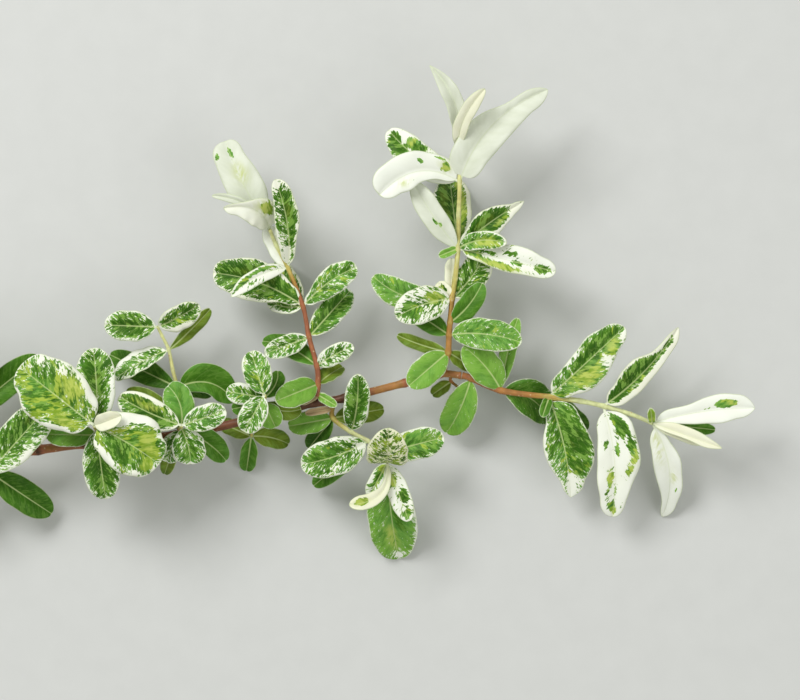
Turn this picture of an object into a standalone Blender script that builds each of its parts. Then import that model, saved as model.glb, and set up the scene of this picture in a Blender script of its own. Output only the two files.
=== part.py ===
"""A cut branch of dappled willow that lies on a table, its leaves holding the stem up.

The branch runs from its cut end at the left (-X) to its leafy tip at the right (+X), and
its side shoots spread to both sides. Each leafy shoot is one solid: a tapering twig with
its leaves joined to it. Lengths below are in millimetres and angles in degrees; a place
is (to the right, away from the viewer's feet, above the table), measured from the point
of the table under the middle of the view.
"""

import math

import bmesh
import bpy
from mathutils import Matrix, Vector

MM = 0.001
GAP = 0.3  # between a shoot's foot and the stem that carries it
FOOTPRINT_MIDDLE = Vector((-25.1, 14.6, 0.0))  # becomes the object's origin

STEM_ROUTE = [
    (-185, -43.5, 14), (-180, -43.5, 14), (-175, -43.5, 14), (-145, -40, 15), (-126, -37.5, 16),
    (-87, -33.6, 18), (-54.5, -26.4, 20), (-40, -22.4, 21), (-22, -19.2, 21),
    (2, -13.2, 20), (16, -9.6, 20), (24.5, -10.2, 20),
]
STEM_THICK = (4.0, 2.8)  # at the cut end and where the right shoot goes on

BLADE_THICK = 0.5
STALK_WIDTH = 1.1
STALK_SHARE = 0.08  # of a leaf's length, between its twig and its blade
BLADE_ROWS, BLADE_COLUMNS = 8, 2

WOOD = (0.23, 0.095, 0.04)
GREEN = (0.16, 0.30, 0.06)


def leaf(node, tip, width, roll=0, twist=0, bow=6, sweep=0, fold=12,
         belly=0.53, base=0.6, end=0.5):
    """One leaf. `node` counts along its shoot's route and `tip` is the far end's place.

    The face looks up; `roll` turns it about the midrib, and `twist` turns the tip on
    from the base. The midrib arches up by `bow` and to its right by `sweep` hundredths of
    the length, and the two halves are raised by `fold`. The blade is widest at `belly`,
    a share of its length, and `base` and `end` say how sharply it narrows from there.
    """
    return dict(node=node, tip=tip, width=width, roll=roll, twist=twist, bow=bow,
                sweep=sweep, fold=fold, belly=belly, base=base, end=end)


def shoot(name, foot, via, thick, leaves):
    """One leafy shoot: it leaves the main stem at x = `foot` and runs through `via`."""
    return dict(name=name, foot=foot, via=via, thick=thick, leaves=leaves)


SHOOTS = [
    shoot("edge_upper_spray", -176, [(-175, -35, 17), (-174, -26.5, 20), (-172, -20, 22)], (2, 1.2), [
        leaf(2, (-143.4, -4.2, 16), 12.5),
        leaf(2, (-190, -10, 8), 12),
        leaf(3, (-163, 6, 27), 11),
        leaf(3, (-186, 2, 31), 10, roll=-15),
    ]),
    shoot("edge_lower_spray", -166, [(-165.5, -48, 19), (-165, -50, 25)], (2, 1.4), [
        leaf(2, (-139, -21, 27), 16.5),
        leaf(1, (-139.4, -65.2, 7), 12.5),
        leaf(1, (-186, -66, 1), 13),
        leaf(2, (-186, -60, 23), 13),
    ]),
    shoot("round_leaf_rosette", -120, [(-120.4, -34, 27), (-121, -31, 36), (-121.2, -30, 44)], (2.2, 1.4), [
        leaf(3, (-150.6, -6.8, 45), 25, fold=5, base=0.45, end=0.6, belly=0.5),
        leaf(3, (-96.4, -46, 42), 24.5, fold=5, base=0.45, sweep=-6),
        leaf(3, (-110.4, -26, 50), 8, fold=30),
        leaf(2, (-121.8, 0.6, 36), 16.5, sweep=3),
        leaf(2, (-117.4, -59.4, 28), 14.5),
        leaf(1, (-141.6, -33.6, 24), 10),
        leaf(1, (-100, -37, 24), 10),
    ]),
    shoot("small_upright_spray", -83, [
        (-85.6, -24, 21), (-88.8, -15, 22), (-90.8, -8, 22.5),
        (-92.4, 0, 23), (-95, 5.6, 24), (-96.8, 9.2, 25)], (1.8, 1.2), [
        leaf(6, (-118, 10, 26), 12.5),
        leaf(6, (-80, 18, 32), 11, roll=25),
        leaf(4, (-75, 15.8, 20), 7.5, roll=20, belly=0.6),
        leaf(4, (-114, -11.6, 24), 12, roll=45),
        leaf(2, (-66, -20.8, 21), 11.5, sweep=-18),
        leaf(2, (-116.6, -2.4, 8), 11.5),
        leaf(2, (-75, -16.6, 8), 7),
    ]),
    shoot("left_rosette", -88.5, [(-88, -32, 25), (-87.4, -31, 31), (-86.8, -30, 37)], (2.0, 1.4), [
        leaf(3, (-111.8, -18.4, 36), 12.5, sweep=-3),
        leaf(3, (-69.2, -24, 37), 10.5),
        leaf(2.3, (-92.6, -14.2, 31), 12, sweep=14, end=0.4),
        leaf(2.3, (-83.6, -45.6, 28), 13.5, sweep=-6),
        leaf(1.3, (-70.2, -44.4, 16), 9.5, sweep=-7),
        leaf(1.3, (-93.6, -44.8, 18), 9),
        leaf(1, (-93.6, -50, 8), 6.5),
        leaf(1, (-109.6, -14.8, 24), 11, sweep=8),
    ]),
    shoot("middle_rosette", -54.5, [(-54.2, -21, 28), (-54, -19, 33), (-54, -18, 38)], (2.0, 1.4), [
        leaf(3, (-59.2, -0.4, 38), 11.5),
        leaf(3, (-62, -32.6, 37), 11),
        leaf(2, (-69.2, -16.4, 33), 9),
        leaf(2, (-48.8, -8.2, 26), 6.5, sweep=12),
        leaf(1, (-67.2, -23.6, 24), 7),
        leaf(1, (-39.4, -23.6, 24.5), 7.5, sweep=12, roll=10),
        leaf(1, (-49.6, -31, 28), 9.5),
    ]),
    shoot("low_spray", -59, [(-59.3, -31.4, 16), (-59.6, -34.6, 12)], (1.6, 1.0), [
        leaf(2, (-72.4, -29, 8), 7),
        leaf(2, (-44, -38.8, 8), 9),
        leaf(2, (-61.2, -48.8, 0.6), 7.5),
    ]),
    shoot("inner_shoot", -33.5, [
        (-32.8, -13.6, 22), (-33.2, -6.4, 23), (-36.4, 5.2, 23), (-38.8, 17.6, 23),
        (-44.8, 32.8, 24), (-49.5, 42, 25), (-52, 48, 26)], (2.4, 1.4), [
        leaf(1, (-49.6, -20.4, 33), 11),
        leaf(1, (-22.8, -6.6, 18), 9, roll=-40),
        leaf(0.3, (-25.2, -22.4, 25), 4),
        leaf(0.3, (-40.4, -21.2, 26), 4.5, fold=30),
        leaf(2, (-55.2, 3.6, 15), 9.5, sweep=6, roll=25),
        leaf(2, (-18.4, 0.8, 28), 8.2, sweep=-4),
        leaf(3, (-54, -1.6, 26), 8.5),
        leaf(3, (-18.8, 23.4, 14), 11.5),
        leaf(4, (-74.8, 30.8, 20), 16.5, sweep=12, base=0.8, belly=0.6),
        leaf(4, (-17.2, 33.2, 26), 11.5, sweep=-6, belly=0.6),
        leaf(4, (-53, 19.4, 14), 6.5, sweep=-10),
        leaf(4, (-51.2, 34.4, 1), 14),
        leaf(5, (-67.2, 21.2, 34), 7.5, sweep=14),
        leaf(5, (-49.6, 67.8, 38), 11, sweep=5, fold=25),
        leaf(5, (-54.6, 49.6, 18), 6, fold=5, bow=0),
        leaf(7, (-70.4, 84, 26), 17, belly=0.56, end=0.45),
        leaf(7, (-69.6, 56.4, 40), 10, fold=25),
        leaf(7, (-74.8, 61.4, 34), 3.5, sweep=14, bow=12),
    ]),
    shoot("tall_shoot", 17, [
        (19.2, -0.8, 24), (19.6, 6, 24.5), (20, 11, 25), (20.8, 20.4, 25), (22, 28.8, 25),
        (23.2, 40.6, 25), (23.4, 54, 26), (23.8, 67, 27), (23.2, 80, 29)], (2.6, 1.6), [
        leaf(1, (3.4, -14.4, 28), 11.8),
        leaf(1, (-1.2, 6.8, 18), 6.2),
        leaf(1, (29.2, -7, 18), 6.5),
        leaf(2, (48.4, 3, 34), 13, sweep=-6),
        leaf(2, (4.8, 16, 18), 9),
        leaf(3, (32.8, 26.8, 27), 9, sweep=7),
        leaf(4, (-1.6, 13.6, 32), 14.5, sweep=6),
        leaf(4, (-10.8, 30.4, 24), 12, sweep=-8),
        leaf(4, (36.8, 33.4, 16), 8),
        leaf(4, (19, 36.8, 16), 7.5),
        leaf(4, (14.8, 26.8, 24), 6),
        leaf(6, (5, 67, 31), 12, sweep=-3),
        leaf(6, (20, 68.8, 1), 17),
        leaf(6, (49.6, 59.4, 27), 10.5, sweep=-8, belly=0.45, end=0.95, twist=40),
        leaf(6, (62, 31.2, 31), 13, sweep=3, base=0.85, belly=0.62),
        leaf(6, (42.4, 42.6, 35), 7.5, sweep=-10),
        leaf(6, (15.2, 37.6, 27), 4),
        leaf(8, (-10, 61.2, 38), 17, sweep=13, base=0.85, belly=0.6),
        leaf(8, (58.8, 103.6, 35), 15, sweep=-10, base=0.45, end=0.65, fold=28),
        leaf(8, (-5.2, 88.4, 20), 13, sweep=-6),
        leaf(9, (11.8, 113.2, 36), 9.5, sweep=11, end=1.0, fold=35),
        leaf(9, (33.6, 103.4, 47), 6.2, fold=38),
    ]),
    shoot("fork_spray", 20, [(20.5, -12.6, 17), (24.4, -15.6, 14)], (1.4, 1.0), [
        leaf(1, (12.4, -18.2, 12), 6),
        leaf(2, (24, -24, 6), 6),
    ]),
    shoot("right_shoot", None, [
        (24.8, -10.2, 20), (28.4, -11.2, 20.2), (40.4, -16.2, 21), (59.6, -18.8, 22),
        (72, -20.4, 22.4), (81.2, -22.4, 22.6), (92, -25.6, 22.6), (100.8, -29.2, 22)], (2.8, 1.6), [
        leaf(1, (18.4, -33.8, 8), 14),
        leaf(2, (25.2, 1.6, 26), 13.5, sweep=6),
        leaf(2, (48, 12.8, 19), 8, sweep=-5),
        leaf(2, (60, -30, 5), 15, sweep=-5, roll=-12),
        leaf(3, (90.4, 9.6, 28), 16, sweep=3, base=0.8, belly=0.62, end=0.6),
        leaf(3, (68.4, -59.2, 14), 21, sweep=-7, base=0.5, belly=0.48, end=0.8),
        leaf(3, (76, -32, 8), 10),
        leaf(3, (56.8, -26.8, 26), 4.5),
        leaf(5, (111.6, 9.2, 32), 11, twist=50, end=0.7),
        leaf(5, (85.4, -66.8, 14), 18.5, sweep=-10, base=0.42, belly=0.46, end=0.6),
        leaf(7, (105.4, -67.2, 0.8), 11.5, sweep=-9, belly=0.6, end=0.6),
        leaf(7, (141.6, -23.2, 28), 13, sweep=-5, base=1.0, belly=0.66),
        leaf(7, (128.4, -39.6, 28), 5, end=0.8),
        leaf(7, (126.4, -32, 15), 6, base=0.8),
        leaf(7, (121.2, -37.6, 21), 4.5),
        leaf(7, (100, -23.6, 29), 3.5),
    ]),
    shoot("front_shoot", -27, [
        (-26.8, -27.2, 17), (-19.6, -32.8, 18), (-12.8, -36.4, 19), (-6, -41, 21),
        (-5.2, -45, 22)], (2.2, 1.4), [
        leaf(1, (-44.8, -30.6, 14), 9.5),
        leaf(1, (-6, -22.8, 14), 9),
        leaf(1, (-36.8, -39.6, 6), 8),
        leaf(0.3, (-38, -25.4, 21), 3.5, fold=30),
        leaf(2, (-16.8, -9.6, 31), 10.5, sweep=4),
        leaf(3, (-39.2, -45.4, 20), 15.5, sweep=-6),
        leaf(3, (-35.6, -54, 6), 8),
        leaf(5, (-4.4, -31, 44), 17, bow=15),
        leaf(4, (17.6, -35.2, 24), 13),
        leaf(5, (-20.2, -61.6, 34), 6, sweep=-25),
        leaf(5, (-0.4, -84, 0.8), 20),
        leaf(5, (3.6, -68.4, 24), 9),
        leaf(5, (-12.4, -58.8, 20), 7),
    ]),
]


def along(route, place):
    """The point at `place` on the smooth curve through a route, counted in its points."""
    i = min(int(place), len(route) - 2)
    t = place - i
    a, b = route[i], route[i + 1]
    before = route[i - 1] if i else 2 * a - b
    after = route[i + 2] if i + 2 < len(route) else 2 * b - a
    return 0.5 * (2 * a + (b - before) * t + (2 * before - 5 * a + 4 * b - after) * t**2
                  + (3 * a - before - 3 * b + after) * t**3)


def place_at_x(route, x):
    """The place on a route that runs to the right where it has reached `x`."""
    low, high = 0.0, len(route) - 1.0
    for _ in range(40):
        middle = (low + high) / 2
        low, high = (middle, high) if along(route, middle).x < x else (low, middle)
    return low


def thickness(route, place, thick):
    """A stem's thickness at a place: it tapers evenly, and swells a little at its nodes."""
    base, tip = thick
    share = place / (len(route) - 1)
    node = max(0.0, 1 - 6 * abs(place - round(place)))
    return (base + (tip - base) * share) * (1 + 0.12 * node)


def route_of(spec):
    """A shoot's route, its foot GAP clear of the main stem's bark."""
    via = [Vector(point) for point in spec["via"]]
    if spec["foot"] is None:
        return via
    stem = [Vector(point) for point in STEM_ROUTE]
    place = place_at_x(stem, spec["foot"])
    middle = along(stem, place)
    clear = thickness(stem, place, STEM_THICK) / 2 + GAP
    return [middle + (via[0] - middle).normalized() * clear] + via


def material(name, color, roughness):
    made = bpy.data.materials.new(name)
    made.use_nodes = True
    principled = made.node_tree.nodes["Principled BSDF"]
    principled.inputs["Base Color"].default_value = (*color, 1)
    principled.inputs["Roughness"].default_value = roughness
    return made


def tube(name, route, thick, steps, sides):
    """A stem as a closed mesh: a bevelled curve through its route, in metres."""
    curve = bpy.data.curves.new(name, "CURVE")
    curve.dimensions = "3D"
    curve.bevel_depth = MM / 2
    curve.bevel_resolution = (sides - 4) // 2
    curve.use_fill_caps = True
    spline = curve.splines.new("POLY")
    count = steps * (len(route) - 1) + 1
    spline.points.add(count - 1)
    for i, point in enumerate(spline.points):
        place = i / steps
        point.co = (*(along(route, place) - FOOTPRINT_MIDDLE) * MM, 1)
        point.radius = thickness(route, place, thick)
    drawn = bpy.data.objects.new(name + "_curve", curve)
    bpy.context.scene.collection.objects.link(drawn)
    bpy.context.view_layer.update()
    mesh = bpy.data.meshes.new_from_object(drawn.evaluated_get(bpy.context.evaluated_depsgraph_get()))
    mesh.name = name
    weld = bmesh.new()
    weld.from_mesh(mesh)
    bmesh.ops.remove_doubles(weld, verts=weld.verts, dist=1e-6)
    bmesh.ops.recalc_face_normals(weld, faces=weld.faces)
    weld.to_mesh(mesh)
    weld.free()
    made = bpy.data.objects.new(name, mesh)
    made.matrix_world = drawn.matrix_world
    bpy.data.objects.remove(drawn)
    return made


def half_width(spec, u):
    """Half a blade's width at the share `u` of its length, down to its stalk's at the foot."""
    even = u ** (math.log(0.5) / math.log(spec["belly"]))
    bulge = max(0.0, 4 * even * (1 - even))
    blade = spec["width"] / 2 * bulge ** (spec["base"] if even < 0.5 else spec["end"])
    return min(blade + STALK_WIDTH / 2 * (1 - 0.75 * u), spec["width"] / 2)


def blade_point(spec, root, t, s):
    """The place on a leaf at `t` along it (0 at its twig, 1 at its tip), `s` across (-1 to 1)."""
    tip = Vector(spec["tip"])
    chord = tip - root
    length = chord.length
    ahead = chord / length
    up = (Vector((0, 0, 1)) - ahead * ahead.z).normalized()
    up = Matrix.Rotation(math.radians(spec["roll"]), 3, ahead) @ up
    side = ahead.cross(up)
    arch = 4 * t * (1 - t)
    lift = up * spec["bow"] / 100 + side * spec["sweep"] / 100
    middle = root + chord * t + lift * length * arch
    forward = (chord + lift * length * 4 * (1 - 2 * t)).normalized()
    face = (up - forward * up.dot(forward)).normalized()
    face = Matrix.Rotation(math.radians(spec["twist"] * t), 3, forward) @ face
    across = forward.cross(face)
    half = half_width(spec, max(0.0, (t - STALK_SHARE) / (1 - STALK_SHARE)))
    fold = math.radians(spec["fold"])
    return middle + half * (across * s * math.cos(fold) + face * abs(s) * math.sin(fold))


def row_place(row, rows, stalk_rows=1):
    """Where a row of points lies along a leaf: one stretch of stalk, then rows closer at both ends."""
    if row <= stalk_rows:
        return STALK_SHARE * row / stalk_rows
    share = (row - stalk_rows) / (rows - stalk_rows)
    return STALK_SHARE + (1 - STALK_SHARE) * (1 - math.cos(math.pi * share)) / 2


def leaf_solid(name, spec, route):
    """A leaf as a thin closed solid: a grid drawn out to the blade's shape and given thickness."""
    root = along(route, spec["node"])
    grid = bmesh.new()
    bmesh.ops.create_grid(grid, x_segments=BLADE_COLUMNS, y_segments=BLADE_ROWS, size=0.5)
    for vert in grid.verts:
        row = round((vert.co.y + 0.5) * BLADE_ROWS)
        point = blade_point(spec, root, row_place(row, BLADE_ROWS), 2 * vert.co.x)
        vert.co = (point - FOOTPRINT_MIDDLE) * MM
    bmesh.ops.solidify(grid, geom=grid.faces, thickness=BLADE_THICK * MM)
    bmesh.ops.recalc_face_normals(grid, faces=grid.faces)
    mesh = bpy.data.meshes.new(name)
    grid.to_mesh(mesh)
    grid.free()
    return bpy.data.objects.new(name, mesh)


def fused(stem, leaves):
    """Joins a shoot's leaves to its twig with one union."""
    joined = bpy.data.collections.new(stem.name + "_leaves")
    bpy.context.scene.collection.children.link(joined)
    for made in leaves:
        joined.objects.link(made)
    union = stem.modifiers.new("leaves", "BOOLEAN")
    union.operation = "UNION"
    union.operand_type = "COLLECTION"
    union.collection = joined
    bpy.context.view_layer.update()
    mesh = bpy.data.meshes.new_from_object(stem.evaluated_get(bpy.context.evaluated_depsgraph_get()))
    stem.modifiers.remove(union)
    stem.data = mesh
    for made in leaves:
        bpy.data.objects.remove(made)
    bpy.data.collections.remove(joined)


def build():
    for old in list(bpy.data.objects):
        bpy.data.objects.remove(old)
    branch = bpy.data.collections.new("cut_willow_branch")
    bpy.context.scene.collection.children.link(branch)

    stem = tube("main_stem", [Vector(point) for point in STEM_ROUTE], STEM_THICK, 4, 8)
    stem.data.materials.clear()
    stem.data.materials.append(material("bark", WOOD, 0.6))
    branch.objects.link(stem)

    for spec in SHOOTS:
        route = route_of(spec)
        twig = tube(spec["name"], route, spec["thick"], 2, 6)
        branch.objects.link(twig)
        fused(twig, [leaf_solid(f"{spec['name']}_leaf_{i}", each, route)
                     for i, each in enumerate(spec["leaves"])])
        twig.data.materials.clear()
        twig.data.materials.append(material(spec["name"] + "_leaves", GREEN, 0.5))

    for part in branch.objects:
        part.data.shade_smooth()
        part.data.set_sharp_from_angle(angle=math.radians(35))


if __name__ == "__main__":
    build()
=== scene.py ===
"""A cut branch of dappled willow on a pale table, seen from straight above.

The branch lies from its cut end at the left to its leafy tip at the right. Its stem and the
leaves' places follow the part's own rule, with lengths in millimetres and angles in degrees;
a place is (to the right, away from the viewer's feet, above the table), measured from the
point of the table under the middle of the view. The looks are made here: bark with its
rings and corky dots, its cut wood, and thin leaves with their veins and white variegation.
"""

import math
import random
from statistics import NormalDist

import bmesh
import bpy
from mathutils import Matrix, Vector, noise


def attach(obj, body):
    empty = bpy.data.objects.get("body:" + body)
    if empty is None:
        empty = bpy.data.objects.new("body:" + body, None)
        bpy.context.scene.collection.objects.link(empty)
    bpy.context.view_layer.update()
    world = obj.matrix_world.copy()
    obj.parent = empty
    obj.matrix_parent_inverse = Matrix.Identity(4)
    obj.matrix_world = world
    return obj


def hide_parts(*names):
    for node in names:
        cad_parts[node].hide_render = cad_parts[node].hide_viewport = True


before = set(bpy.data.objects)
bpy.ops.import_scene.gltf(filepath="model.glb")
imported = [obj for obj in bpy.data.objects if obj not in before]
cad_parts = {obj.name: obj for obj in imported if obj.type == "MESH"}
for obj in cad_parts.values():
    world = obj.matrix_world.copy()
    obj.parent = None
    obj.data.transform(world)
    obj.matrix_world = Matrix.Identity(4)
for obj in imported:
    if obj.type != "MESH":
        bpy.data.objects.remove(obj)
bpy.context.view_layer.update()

MM = 0.001
FOOTPRINT_MIDDLE = Vector((-25.1, 14.6, 0.0))

# The main stem: its route, its thickness at the cut and at the fork, and the age of its bark at
# each point of the route. A shoot's foot stands GAP clear of it.
STEM_ROUTE = [
    (-185, -43.5, 14), (-180, -43.5, 14), (-175, -43.5, 14), (-145, -40, 15), (-126, -37.5, 16),
    (-87, -33.6, 18), (-54.5, -26.4, 20), (-40, -22.4, 21), (-22, -19.2, 21),
    (2, -13.2, 20), (16, -9.6, 20), (24.5, -10.2, 20),
]
STEM_THICK = (4.0, 2.8)
STEM_AGES = (0.7, 0.7, 0.7, 0.68, 0.7, 0.85, 0.92, 1.05, 0.9, 0.48, 0.55, 0.6)
GAP = 0.3
NODE_SWELL = 0.12  # of the thickness, at each point of a route
NODE_REACH = 1 / 6  # of the way to the next point

# Every leaf: its stalk, its blade's own thickness, and the rows of its mesh.
STALK_WIDTH = 1.1
STALK_TAPER = 0.75  # of that width, over the length of the blade
STALK_SHARE = 0.05  # of a leaf's length
LEAF_THICK = 0.28
BLADE_ROWS, BLADE_COLUMNS = 30, 12
STALK_ROWS = 2
LEAVES_A_PIECE = 3

# The relief of a blade, in mm or as a share of its half width.
HALF_CROWN = 0.10  # how far each half swells, as a share
EDGE_LIFT = 0.055  # how far the edge waves up and down, as a share
EDGE_WAVES = 3.3  # from stalk to tip
EDGE_STAGGER = 0.25  # of a wave, from one edge to the other
OUTLINE_WAVE, OUTLINE_WAVES = 0.07, 4.5  # how far the outline wavers, as a share, and how often
DRAWN_WAVE, DRAWN_WAVES = 0.04, 6  # the same, for a leaf with an outline of its own
VEIN_PITCH = 3.4  # between the side veins
VEIN_SLANT = 0.9  # how far a side vein runs forward for each mm outward
VEIN_RISE = 0.05  # how far the blade swells between them
RIB_DEPTH, RIB_REACH = 0.22, 0.55  # the midrib's groove on top
KEEL_DEPTH, KEEL_REACH = 0.55, 0.5  # the midrib's ridge underneath, at its foot
RELIEF_SLOPE = 6  # the relief is whole a sixth of the way up the blade
CURL_START = 0.6  # of the way up the blade

# How much of a leaf each kind of marking takes: `white` and `yellow` patches, `speck` of fine
# white flecks, a white `margin` in mm, and how `patchy` its greens are. `tone` is its green,
# from olive (0) through dark (0.25), mid (0.5) and bluish (0.62) to light (1); on a white leaf
# it runs from brown below 0 through cream to white. `fine` breaks the white up into flecks.
LOOKS = {
    "plain": dict(tone=0.45, speck=0.02, patchy=0.25),
    "light": dict(tone=0.74, speck=0.07, margin=0.3, patchy=0.35),
    "dark": dict(tone=0.3, speck=0.01, patchy=0.25),
    "olive": dict(tone=0.02, patchy=0.3),
    "bluish": dict(tone=0.7, speck=0.07, margin=0.4, patchy=0.45, fine=0.5),
    "sprinkled": dict(tone=0.64, speck=0.13, margin=0.5, yellow=0.1, patchy=0.8),
    "speckled": dict(tone=0.52, speck=0.3, margin=0.9, white=0.02, yellow=0.1, patchy=1, fine=0.7),
    "dappled": dict(tone=0.55, speck=0.2, margin=0.8, white=0.05, yellow=0.22, patchy=1, fine=0.8),
    "margined": dict(tone=0.42, speck=0.17, margin=1.4, white=0.05, yellow=0.18, patchy=1, fine=0.3),
    "marbled": dict(tone=0.5, speck=0.2, margin=1.4, white=0.12, yellow=0.42, patchy=1, fine=0.5),
    "fan": dict(tone=0.2, speck=0.25, margin=1.4, white=0.25, yellow=0.5, patchy=1, fine=0.9),
    "streaked": dict(tone=0.5, speck=0.2, margin=1.4, white=0.3, yellow=0.2, patchy=1, fine=0.7),
    "pale": dict(tone=0.6, speck=0.1, margin=1.2, white=0.7, yellow=0.35, patchy=1, fine=0.35),
    "flecked": dict(tone=0.42, speck=0.2, margin=1.2, white=0.16, yellow=0.1, patchy=1, fine=1),
    "white": dict(tone=0.95, white=0.995, yellow=0.3, patchy=1),
    "bright": dict(tone=0.7, white=0.995, yellow=0.3, patchy=1),
    "cream": dict(tone=0.28, white=0.985, yellow=0.5, patchy=1),
    "lime": dict(tone=0.6, margin=0.4, yellow=0.8, patchy=1),
    "scale": dict(tone=-0.3, white=0.98),
}

# What a single dab of colour on a leaf adds to its white, its yellow-green and its light green.
DABS = {
    "white": (1.0, 0.0, 0.0),
    "green": (-1.0, 0.0, 0.0),
    "dark": (-1.2, -1.0, -0.8),
    "lime": (-1.0, 1.0, 0.1),
    "faint": (-0.25, 1.0, 0.3),
}


def leaf(node, tip, width, look, roll=0, twist=0, bow=6, sweep=0, fold=12, belly=0.53, base=0.6,
         end=0.5, lean=0, ripple=1.0, curl=0, side=0, left=(), right=(), dabs=(), **more):
    """One leaf: `node` counts along its shoot's route and `tip` is the far end's place.

    The shape words up to `end` are the part's own. `lean` makes the left half wider and the
    right half narrower, `ripple` scales the waves of the edge and `curl` rolls the far end
    down. A leaf with an outline of its own has the half widths `left` and `right` in mm at
    the sixths of its blade. `side` puts more white on the right half. Each of the `dabs` is a
    kind of DABS, its place along and across the leaf, and its reach along and across, all as
    shares of the leaf's length and half width. Any of the look's own words can be given anew.
    """
    marks = dict(LOOKS[look], **more)
    return dict(node=node, tip=tip, width=width, roll=roll, twist=twist, bow=bow, sweep=sweep,
                fold=fold, belly=belly, base=base, end=end, lean=lean, ripple=ripple,
                curl=curl, side=side, marks=marks, left=left, right=right, dabs=dabs)


def shoot(name, foot, via, thick, age, leaves):
    """One leafy shoot, from the main stem at x = `foot` through `via`.

    `age` is its bark's age at the foot and at the tip, and where on the way it changes.
    """
    return dict(name=name, foot=foot, via=via, thick=thick, age=age, leaves=leaves)


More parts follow.
